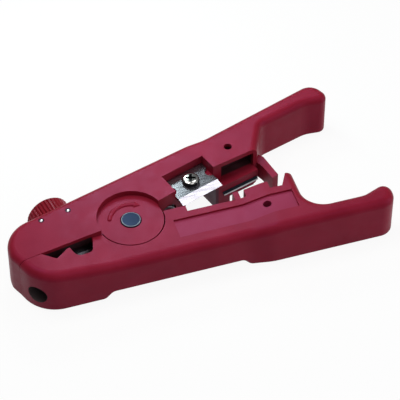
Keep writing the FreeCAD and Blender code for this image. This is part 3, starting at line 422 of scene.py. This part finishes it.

# %% [markdown]
# ## Places on the red plastic
# Shade is painted darker into the hole of the nose, the pocket above the blades, the face over the
# notches, the end of the blade block and a ring round the dial's pins, and a painted sheen makes the
# shallow recess on the lower arm paler and pinker than the face round it. Each of these could be a
# material of its own on chosen faces. As masks they need no choice of faces, and their edges can be
# soft, as shade's are.

# %% Places in the nose and the jaws
HOLE_SHADE_DEPTH = 14.0
JAW_ANGLE = math.radians(10.5)
PIN_RADIUS = 0.75
PIN_RING = 0.95
pins_low, pins_high = box_of("dial_retaining_pins")
pin_inset = Vector((PIN_RADIUS, PIN_RADIUS, 0)) * MM
pin_ends = (Vector((pins_low.x, pins_low.y, pins_high.z)) + pin_inset, pins_high - pin_inset)


def in_nose_hole(tree):
    """Painted shade inside the deep hole in the nose, and nothing further along its line."""
    hole = [mount for mount in frame["record"]["mounts"] if mount["name"] == "nose_hole"][0]
    off_axis = distance_from_axis(tree, hole["pos_m"], hole["axis"])
    depth = distance_from(tree, hole["pos_m"])
    return number_step(tree, "MULTIPLY", fade(tree, off_axis, hole["dims"]["r_mm"], soft=0.03),
                       fade(tree, depth, HOLE_SHADE_DEPTH, soft=1.0))


def in_jaw_gap(tree):
    """The upper jaw's face above the notches, painted near-black as shade."""
    return inside_box(tree, JAW_ANGLE, start=from_pivot(0, 0, 8.0), steps=(-24.7, -0.9),
                      halves=(9.0, 0.33, 8.0), soft=0.3)


def round_dial_pins(tree):
    """A ring of painted shade round the ends of the dial's two pins, where the gap lies in shadow."""
    first, last = [distance_from(tree, end) for end in pin_ends]
    return fade(tree, number_step(tree, "MINIMUM", first, last), PIN_RING, soft=0.25)


print("pins end at", [[round(v / MM, 1) for v in end] for end in pin_ends], "mm")

# %% Places round the blades and the recess
POCKET_ANGLE = math.radians(13.8)
FLAT_ANGLE = math.radians(16.3)


def in_blade_pocket(tree):
    """The inside of the pocket above the flat-cable blade, painted dark as shade."""
    return inside_box(tree, POCKET_ANGLE, start=from_pivot(33.8, 13.7, 12.6), steps=(9.8, 5.6),
                      halves=(6.7, 4.0, 3.16), soft=0.7)


def on_block_end(tree):
    """The end of the blade block beside the cutter, painted dark as shade."""
    return inside_box(tree, FLAT_ANGLE, start=from_pivot(0, 0, 4.0), steps=(35.3, 3.4),
                      halves=(0.8, 3.6, 5.0), soft=0.6)


def in_arm_recess(tree):
    """The floor of the shallow recess on the lower arm, where a sheen is painted in a pinker colour."""
    return inside_box(tree, 0.0, start=from_pivot(34.95, -8.5, 13.2), steps=(0, 0),
                      halves=(21.15, 4.0, 4.2), soft=0.05)


print("the blade block leans by", round(math.degrees(FLAT_ANGLE), 1), "degrees")

# %% [markdown]
# ## The plastics
# The arms, the dial and the hidden blade carrier are three plastics that differ in colour and gloss
# but not in kind. Each could be built on its own. One function makes all three from three shades of
# the pigment, a roughness, a gloss with its tint, and the places whose colour differs.

# %% Moulded plastic
PIGMENT_SPOTS = 90.0
PIGMENT_STOPS = (0.28, 0.5, 0.74)
GRAIN_SPOTS = 2000.0
GRAIN_DETAIL = 2.0
GRAIN_BUMP = 0.40
GRAIN_DEPTH = 0.06
SPECK_SHARE = 0.35
SPECK_GREY = (0.78, 0.78, 0.8, 1)
GRAIN_SMOOTHEST, GRAIN_DULLEST = -0.05, 0.07
WEAR_SPOTS = 260.0
WEAR = 0.06


def moulded_plastic(name, shades, rough, gloss, gloss_tint, places=()):
    """Plastic in dark, plain and pale shades; each place is (mask maker, colour)."""
    material, tree, shader = new_material(name)
    grain = object_noise(tree, GRAIN_SPOTS, GRAIN_DETAIL)
    pigment = ramp(tree, object_noise(tree, PIGMENT_SPOTS), list(zip(PIGMENT_STOPS, shades)))
    specks = ramp(tree, grain, [(NOISE_LOW, SPECK_GREY), (NOISE_HIGH, WHITE)])
    colour = add_node(tree, "Mix", {"Factor": SPECK_SHARE, "A": pigment, "B": specks},
                      data_type="RGBA", blend_type="MULTIPLY").outputs["Result"]
    for make_mask, place_colour in places:
        colour = painted(tree, colour, make_mask(tree), place_colour)
    dullness = spread(tree, grain, rough + GRAIN_SMOOTHEST, rough + GRAIN_DULLEST)
    wear = spread(tree, object_noise(tree, WEAR_SPOTS), -WEAR, WEAR)
    wire(tree, shader, {
        "Base Color": colour, "Roughness": number_step(tree, "ADD", dullness, wear),
        "Specular IOR Level": gloss, "Specular Tint": gloss_tint,
        "Normal": bumped(tree, grain, GRAIN_BUMP, GRAIN_DEPTH)})
    return material


red_plastic = moulded_plastic(
    "crimson moulded plastic",
    [(0.255, 0.011, 0.025, 1), (0.285, 0.0135, 0.030, 1), (0.315, 0.017, 0.037, 1)],
    rough=0.42, gloss=0.17, gloss_tint=(0.8, 0.28, 0.9, 1),
    # the recess gets a painted sheen, and every other place here is painted shade
    places=[(in_arm_recess, (0.31, 0.028, 0.066, 1)), (in_nose_hole, (0.10, 0.075, 0.075, 1)),
            (in_blade_pocket, (0.045, 0.016, 0.018, 1)), (in_jaw_gap, (0.03, 0.014, 0.016, 1)),
            (round_dial_pins, (0.07, 0.010, 0.016, 1)), (on_block_end, (0.09, 0.016, 0.022, 1))])
dial_plastic = moulded_plastic(
    "red dial plastic",
    [(0.23, 0.009, 0.018, 1), (0.26, 0.012, 0.022, 1), (0.29, 0.015, 0.028, 1)],
    rough=0.36, gloss=0.20, gloss_tint=(0.9, 0.45, 0.7, 1))
black_plastic = moulded_plastic(
    "black slippery plastic",
    [(0.010, 0.010, 0.011, 1), (0.014, 0.014, 0.016, 1), (0.02, 0.02, 0.023, 1)],
    rough=0.38, gloss=0.40, gloss_tint=WHITE)
print("plastics:", red_plastic.name, "/", dial_plastic.name, "/", black_plastic.name)

# %% [markdown]
# ## The steels
# The blades are ground, so fine lines run along them. The rivet, pins and spring are drawn and
# oiled. One function makes them all: noise stretched along one direction gives the lines, and the
# roughness follows it. A metal looks like what it mirrors, so the shader is left to do that work, and
# only its tint and its scratches are set here. On the flat blade's edge and the rivet's rim a highlight
# is painted instead: there the shader turns from metal to a pale grey.

# %% Ground and drawn steel
LINE_SPOTS = 900.0
LINE_DETAIL = 4.0
LINE_STRETCH = (0.12, 2.6, 1.0)
LINE_BUMP = 0.1
LINE_DEPTH = 0.006
LINE_SMOOTHEST, LINE_DULLEST = -0.04, 0.06
BLOOM_SPOTS = 160.0
BLOOM_SHADES = (0.80, 1.10)


def ground_steel(name, tint, rough, line_angle=0.0, bright=None):
    """Steel with fine lines; bright is (mask maker, colour) for a painted highlight in pale grey."""
    material, tree, shader = new_material(name)
    lines = object_noise(tree, LINE_SPOTS, LINE_DETAIL, (LINE_STRETCH, line_angle))
    darker, paler = [tuple(channel * shade for channel in tint) + (1,) for shade in BLOOM_SHADES]
    bloom = object_noise(tree, BLOOM_SPOTS)
    colour = ramp(tree, bloom, [(NOISE_LOW, darker), (NOISE_HIGH, paler)])
    metal = 1.0
    if bright:
        make_mask, bright_colour = bright
        mask = make_mask(tree)
        colour = painted(tree, colour, mask, bright_colour)
        metal = number_step(tree, "SUBTRACT", metal, mask)
    dullness = spread(tree, lines, rough + LINE_SMOOTHEST, rough + LINE_DULLEST)
    wire(tree, shader, {
        "Base Color": colour, "Metallic": metal, "Roughness": dullness,
        "Normal": bumped(tree, lines, LINE_BUMP, LINE_DEPTH)})
    return material


print("a ground line is", round(1 / LINE_SPOTS / LINE_STRETCH[0] / MM), "mm long")

# %% The tool's steels
CUTTER_LINES = math.radians(-18.5)
FLAT_HEIGHT = 11.6
FLAT_EDGE = 0.38
RIM_RADIUS = 3.2
RIM_HALF = 0.12


def flat_edge_highlight(tree):
    """A painted highlight along the edge of the upper flat-cable blade."""
    low_corner = box_of("upper_flat_blade")[0]
    start = low_corner + Vector((FLAT_HEIGHT * MM * math.sin(FLAT_ANGLE), 0, 0))
    return fade(tree, distance_from_axis(tree, start, leaning(FLAT_ANGLE)[0]), FLAT_EDGE, soft=0.1)


def rivet_rim_highlight(tree):
    """A painted highlight round the rivet head's edge."""
    from_axis = distance_from_axis(tree, from_pivot(0, 0), UP)
    from_rim = number_step(tree, "SUBTRACT", from_axis, RIM_RADIUS * MM)
    return fade(tree, number_step(tree, "ABSOLUTE", from_rim), RIM_HALF, soft=0.048)


blade_steel = ground_steel("ground blade steel", (0.33, 0.32, 0.36), rough=0.24, line_angle=CUTTER_LINES)
# the flat blade's edge and the rivet's rim get a painted highlight
dark_blade = ground_steel("blued blade steel", (0.035, 0.04, 0.055), rough=0.34, line_angle=-FLAT_ANGLE,
                          bright=(flat_edge_highlight, (0.70, 0.72, 0.75, 1)))
rivet_steel = ground_steel("blued rivet steel", (0.014, 0.020, 0.042), rough=0.36,
                           bright=(rivet_rim_highlight, (0.20, 0.24, 0.30, 1)))
dark_steel = ground_steel("oiled dark steel", (0.055, 0.07, 0.10), rough=0.36)
spring_steel = ground_steel("drawn spring steel", (0.32, 0.33, 0.36), rough=0.30)
nickel = ground_steel("nickel plate", (0.74, 0.73, 0.70), rough=0.16)
pin_steel = ground_steel("bright pin steel", (0.55, 0.54, 0.57), rough=0.30)
# painted shade for the screw's cross recess and a painted dark reflection on its head's walls
shade_painted_steel = ground_steel("steel painted dark for shade", (0.03, 0.03, 0.035), rough=0.45)
print("materials:", len(bpy.data.materials))

# %% [markdown]
# ## Finishes on their pieces
# Every piece of the model gets the finish of the stuff that it is made of. A material could be picked
# for each piece in its own properties. A list of finishes, each with its pieces, shows at a glance
# what is moulded, ground, plated or drawn.

# %% Give each piece its finish
FINISHES = {
    red_plastic: ("lower_arm", "upper_arm"),
    dial_plastic: ("adjusting_dial",),
    black_plastic: ("blade_carrier",),
    blade_steel: ("cutter_blade", "strip_blade"),
    dark_blade: ("upper_flat_blade", "lower_flat_blade"),
    rivet_steel: ("pivot_rivet",),
    dark_steel: ("pivot_washer", "upper_blade_pin", "lower_blade_pin"),
    spring_steel: ("return_spring", "dial_spring_washer"),
    nickel: ("cutter_screw", "cutter_nut", "dial_lead_screw", "carrier_nut"),
    pin_steel: ("dial_retaining_pins", "strip_blade_pins"),
}
for finish, names in FINISHES.items():
    for name in names:
        slots = nodes[name].data.materials
        slots.clear()
        slots.append(finish)
print("finished nodes:", sum(len(names) for names in FINISHES.values()), "of", len(nodes))

# %% [markdown]
# ## Turned shapes
# Screws and pins are turned on a lathe: a profile is swept about an axis. Blender's Screw modifier
# could do it. Here rings of points are laid one under the other and skinned with faces, because the
# same skin also closes the screw's thread, its cross recess and the arrow on the disc.

# %% Rings and their skin
LATHE_SIDES = 48


def ring_of(shape, radii, height):
    """A ring of points about Z, one for each radius, in millimetres."""
    ring = []
    for side, radius in enumerate(radii):
        turn = 2 * math.pi * side / len(radii)
        ring.append(shape.verts.new(Vector((radius * math.cos(turn), radius * math.sin(turn), height)) * MM))
    return ring


def skin(shape, rings):
    """Faces from each ring to the next, with both ends closed."""
    count = len(rings[0])
    for upper, lower in zip(rings, rings[1:]):
        for side in range(count):
            after = (side + 1) % count
            shape.faces.new((upper[side], lower[side], lower[after], upper[after]))
    shape.faces.new(rings[0])
    shape.faces.new(reversed(rings[-1]))


def turned(shape, profile, sides=LATHE_SIDES):
    """A turned solid about Z from a profile (radius, height), top to foot; returns its points."""
    rings = [ring_of(shape, [radius] * sides, height) for radius, height in profile]
    skin(shape, rings)
    return [point for ring in rings for point in ring]


print("a turned solid has", LATHE_SIDES, "sides")

# %% From a shape to a piece
SHARP = 35


def new_piece(name, shape, material, sharp=SHARP):
    """A piece from a shape, smooth except over edges that are sharper than an angle in degrees."""
    bmesh.ops.recalc_face_normals(shape, faces=shape.faces)
    mesh = bpy.data.meshes.new(name)
    shape.to_mesh(mesh)
    shape.free()
    mesh.materials.append(material)
    mesh.shade_smooth()
    mesh.set_sharp_from_angle(angle=math.radians(sharp))
    piece = bpy.data.objects.new(name, mesh)
    scene.collection.objects.link(piece)
    return piece


def applied_mesh(thing):
    """The mesh that an object has after its modifiers, or that a bevelled curve makes."""
    bpy.context.view_layer.update()
    graph = bpy.context.evaluated_depsgraph_get()
    return bpy.data.meshes.new_from_object(thing.evaluated_get(graph))


print("edges over", SHARP, "degrees stay sharp")

# %% [markdown]
# ## The screw of the cutter blade
# The blade in the window is held by a pan-head screw. A cylinder would do from afar, but the head is
# one of the brightest spots in the picture. So it is turned from a profile, and the shank gets a true
# helical thread: each ring of points is a little further round the wave than the one above it.

# %% Head and thread of the screw
screw_low, screw_high = box_of("cutter_screw")
screw_middle = middle_of("cutter_screw")
SCREW_TOP = screw_high.z / MM
SCREW_FOOT = screw_low.z / MM
HEAD_RADIUS = (screw_high.x - screw_low.x) / 2 / MM
HEAD_HEIGHT = 2.0
HEAD_FOOT = SCREW_TOP - HEAD_HEIGHT
THREAD_RADIUS = 1.5
THREAD_PITCH = 0.5
THREAD_DEPTH = 0.27
ROWS_PER_PITCH = 4
THREAD_SIDES = 32
THREAD_SHARP = 60


def screw_head():
    shape = bmesh.new()
    turned(shape, [(0.6, SCREW_TOP), (1.5, SCREW_TOP - 0.03), (2.2, SCREW_TOP - 0.12),
                   (HEAD_RADIUS - 0.45, SCREW_TOP - 0.26), (HEAD_RADIUS - 0.2, SCREW_TOP - 0.42),
                   (HEAD_RADIUS - 0.06, SCREW_TOP - 0.66), (HEAD_RADIUS, SCREW_TOP - 0.95),
                   (HEAD_RADIUS, HEAD_FOOT + 0.1), (HEAD_RADIUS - 0.1, HEAD_FOOT)])
    return new_piece("cutter_screw_pan_head", shape, nickel)


def thread_radius(height, share):
    """The radius of the thread at a height and a share of a turn: a wave that climbs one pitch a turn."""
    wave = abs(2 * ((height / THREAD_PITCH - share) % 1) - 1)
    return THREAD_RADIUS - THREAD_DEPTH * wave


def screw_thread():
    shape = bmesh.new()
    length = HEAD_FOOT - SCREW_FOOT
    rows = int(length / THREAD_PITCH * ROWS_PER_PITCH)
    rings = []
    for row in range(rows + 1):
        height = HEAD_FOOT - length * row / rows
        radii = [thread_radius(height, side / THREAD_SIDES) for side in range(THREAD_SIDES)]
        rings.append(ring_of(shape, radii, height))
    skin(shape, rings)
    return new_piece("cutter_screw_thread", shape, nickel, THREAD_SHARP)


screw = screw_head()
shank = screw_thread()
for piece in (screw, shank):
    piece.location = (screw_middle.x, screw_middle.y, 0)
print("screw faces:", len(screw.data.polygons), "thread faces:", len(shank.data.polygons))

# %% [markdown]
# ## The cross recess
# The screwdriver's cross could be a dark picture on the head, but its walls catch the light. So a
# tapered plus sign is sunk into the head with a Boolean, whose result becomes the head's mesh. The
# walls of the recess take a near-black finish as painted shade, and the head's walls take it as a
# painted dark reflection.

# %% Cross recess
RECESS_TURN = math.radians(-17.5)
RECESS_DEPTH = 1.4
RECESS_ABOVE = 0.3
MOUTH_REACH, MOUTH_HALF = 2.05, 0.52
FOOT_REACH, FOOT_HALF = 0.9, 0.30
UPRIGHT = 0.55


def cross_outline(reach, half_width):
    """The twelve corners of a plus sign, in mm."""
    quarter = [(reach, -half_width), (reach, half_width), (half_width, half_width)]
    corners = []
    for step in range(4):
        spin = Matrix.Rotation(step * math.pi / 2 + RECESS_TURN, 2)
        corners += [spin @ Vector(corner) for corner in quarter]
    return corners


def cross_cutter():
    """A plus sign that tapers from above the head to the foot of the recess."""
    shape = bmesh.new()
    rings = []
    for height, reach, half_width in ((SCREW_TOP + RECESS_ABOVE, MOUTH_REACH, MOUTH_HALF),
                                      (SCREW_TOP - RECESS_DEPTH, FOOT_REACH, FOOT_HALF)):
        rings.append([shape.verts.new((corner.x * MM, corner.y * MM, height * MM))
                      for corner in cross_outline(reach, half_width)])
    skin(shape, rings)
    # its near-black finish passes to the recess's walls as painted shade
    return new_piece("cross_cutter", shape, shade_painted_steel)


def cut_cross(head):
    """Sink the plus sign into the head."""
    cutter = cross_cutter()
    cutter.location = head.location
    cut = head.modifiers.new("cross recess", "BOOLEAN")
    cut.object = cutter
    cut.solver = "EXACT"
    cut.material_mode = "TRANSFER"
    result = applied_mesh(head)
    head.modifiers.clear()
    head.data = result
    result.set_sharp_from_angle(angle=math.radians(SHARP))
    bpy.data.objects.remove(cutter)


def darken_walls(head):
    """The head's upright faces take the near-black finish: painted shade in the recess and a painted dark
    reflection on the rim.
    """
    dark = list(head.data.materials).index(shade_painted_steel)
    for face in head.data.polygons:
        if abs(face.normal.z) < UPRIGHT:
            face.material_index = dark


cut_cross(screw)
darken_walls(screw)
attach(screw, "upper_half")
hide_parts("cutter_screw")
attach(shank, "upper_half")
print("screw faces after the recess:", len(screw.data.polygons), [m.name for m in screw.data.materials])

# %% [markdown]
# ## The dial's two pins
# Two bright steel dots beside the dial are the ends of the pins that keep it in its groove. A dot of
# paint would look flat. Each pin is turned with a rounded end that is a little smaller than its hole,
# so a thin dark ring of shadow shows round it, as on the real tool, and a ring of painted shade on the
# plastic round it widens that ring.

# %% Retaining pins
PIN_SIDES = 32
PIN_NECK = 0.66
PIN_FOOT_BEVEL = 0.16


def retaining_pins():
    shape = bmesh.new()
    top = pins_high.z / MM
    foot = pins_low.z / MM
    profile = [(0.28, top), (0.50, top - 0.03), (0.61, top - 0.10), (PIN_NECK, top - 0.22),
               (PIN_NECK, top - 0.9), (PIN_RADIUS, top - 1.1),
               (PIN_RADIUS, foot + PIN_FOOT_BEVEL), (PIN_RADIUS - PIN_FOOT_BEVEL, foot)]
    for end in pin_ends:
        bmesh.ops.translate(shape, verts=turned(shape, profile, PIN_SIDES), vec=(end.x, end.y, 0))
    return new_piece("dial_pins", shape, pin_steel)


pins = retaining_pins()
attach(pins, "upper_half")
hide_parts("dial_retaining_pins")
print("pin faces:", len(pins.data.polygons))

# %% [markdown]
# ## The turning arrow on the disc
# A raised bead on the pivot's disc bends round the rivet and ends in an arrowhead. It could be drawn
# as a line in the material, but a moulded sign is part of the shape: it has a bright side and a
# shadow. So one row of cross-sections follows a circle about the pivot. The bead starts round, keeps
# its width, and at the head it widens in one step and runs to a point.

# %% Cross-sections of the arrow
BEAD_RADIUS = 7.25
BEAD_START = 161.0
BEAD_NECK = 66.0
BEAD_POINT = 51.0
BEAD_HALF = 0.80
BEAD_HEIGHT = 0.48
CAP_STEPS = 5
CAP_FIRST = 0.08
BODY_STEPS = 24
HEAD_HALF = 1.45
HEAD_STEPS = 6
HEAD_GAP = 0.6
HEAD_NARROWING = 0.93
HEAD_RISE = 1.1
HEAD_FALL = 0.6


def bead_stations():
    """Angle in degrees, half width and height of each cross-section."""
    stations = []
    cap = math.degrees(BEAD_HALF / BEAD_RADIUS)
    for step in range(CAP_STEPS + 1):
        share = CAP_FIRST + (1 - CAP_FIRST) * step / CAP_STEPS
        rise = math.sqrt(1 - (1 - share) ** 2)
        stations.append((BEAD_START + cap * (1 - share), BEAD_HALF * rise, BEAD_HEIGHT * rise))
    for step in range(1, BODY_STEPS + 1):
        angle = BEAD_START + (BEAD_NECK - BEAD_START) * step / BODY_STEPS
        stations.append((angle, BEAD_HALF, BEAD_HEIGHT))
    for step in range(HEAD_STEPS + 1):
        share = step / HEAD_STEPS
        angle = BEAD_NECK - HEAD_GAP + (BEAD_POINT - BEAD_NECK) * share
        stations.append((angle, HEAD_HALF * (1 - HEAD_NARROWING * share),
                         BEAD_HEIGHT * (HEAD_RISE - HEAD_FALL * share)))
    return stations


print("arrow cross-sections:", len(bead_stations()))

# %% Arrow bead
RIVET_PROUD = 0.4
DISC_TOP = box_of("pivot_rivet")[1].z / MM - RIVET_PROUD
BEAD_FOOT = 0.1
BEAD_FULLNESS = 0.7
SECTION_STEPS = 8
BEAD_SHARP = 50


def bead_section(half, height):
    """The outline of a cross-section: a round back on two feet that sink into the disc."""
    points = [(half, -BEAD_FOOT)]
    for step in range(SECTION_STEPS + 1):
        lean = math.pi * step / SECTION_STEPS
        points.append((half * math.cos(lean), height * math.sin(lean) ** BEAD_FULLNESS))
    return points + [(-half, -BEAD_FOOT)]


def arrow_bead():
    shape = bmesh.new()
    rings = []
    for angle, half, height in bead_stations():
        along = leaning(math.radians(angle))[0]
        rings.append([shape.verts.new(from_pivot((BEAD_RADIUS + out) * along.x, (BEAD_RADIUS + out) * along.y,
                                                 DISC_TOP + up))
                      for out, up in bead_section(half, height)])
    skin(shape, rings)
    return new_piece("turn_arrow", shape, red_plastic, BEAD_SHARP)


arrow = arrow_bead()
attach(arrow, "upper_half")
print("arrow faces:", len(arrow.data.polygons))

# %% [markdown]
# ## The return spring
# A coil of round wire between the arms keeps the jaws shut. It could be swept along a helix of faces,
# but a curve with a round bevel gives the wire its thickness by itself. The two ends lie flat in their
# pockets, so the last turn at each end is wound close.

# %% Path of the spring's wire
spring_low, spring_high = box_of("return_spring")
coil_middle = middle_of("return_spring")
WIRE = 0.4
WIRE_ROUNDING = 4
SPRING_TURNS = 6.5
CLOSED_SHARE = 0.14
POINTS_PER_TURN = 20
coil_radius = (spring_high.x - spring_low.x) / 2 - WIRE * MM
coil_foot = spring_low.y + WIRE * MM
coil_length = spring_high.y - spring_low.y - 2 * WIRE * MM


def climb_at(share):
    """How far up the coil the wire is, at a share of its turns: slow at both ends, steady between."""
    close = 2 * WIRE * MM / coil_length
    if share < CLOSED_SHARE:
        return close * share / CLOSED_SHARE
    if share > 1 - CLOSED_SHARE:
        return 1 - close * (1 - share) / CLOSED_SHARE
    return close + (1 - 2 * close) * (share - CLOSED_SHARE) / (1 - 2 * CLOSED_SHARE)


def coil_path():
    """A bevelled curve along the helix."""
    path = bpy.data.curves.new("return_coil_path", "CURVE")
    path.dimensions = "3D"
    path.bevel_depth = WIRE * MM
    path.bevel_resolution = WIRE_ROUNDING
    path.use_fill_caps = True
    line = path.splines.new("POLY")
    count = int(SPRING_TURNS * POINTS_PER_TURN)
    line.points.add(count)
    for step, point in enumerate(line.points):
        share = step / count
        turn = 2 * math.pi * SPRING_TURNS * share
        point.co = (coil_middle.x + coil_radius * math.cos(turn), coil_foot + coil_length * climb_at(share),
                    coil_middle.z + coil_radius * math.sin(turn), 1)
    holder = bpy.data.objects.new("return_coil_path", path)
    scene.collection.objects.link(holder)
    return holder


print("coil:", round(coil_length / MM, 1), "mm long,", SPRING_TURNS, "turns")

# %% Spring


def spring_coil():
    holder = coil_path()
    mesh = applied_mesh(holder)
    bpy.data.objects.remove(holder)
    mesh.materials.clear()
    mesh.materials.append(spring_steel)
    mesh.shade_smooth()
    coil = bpy.data.objects.new("return_coil", mesh)
    scene.collection.objects.link(coil)
    return coil


coil = spring_coil()
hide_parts("return_spring")
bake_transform(coil)
print("coil faces:", len(coil.data.polygons))
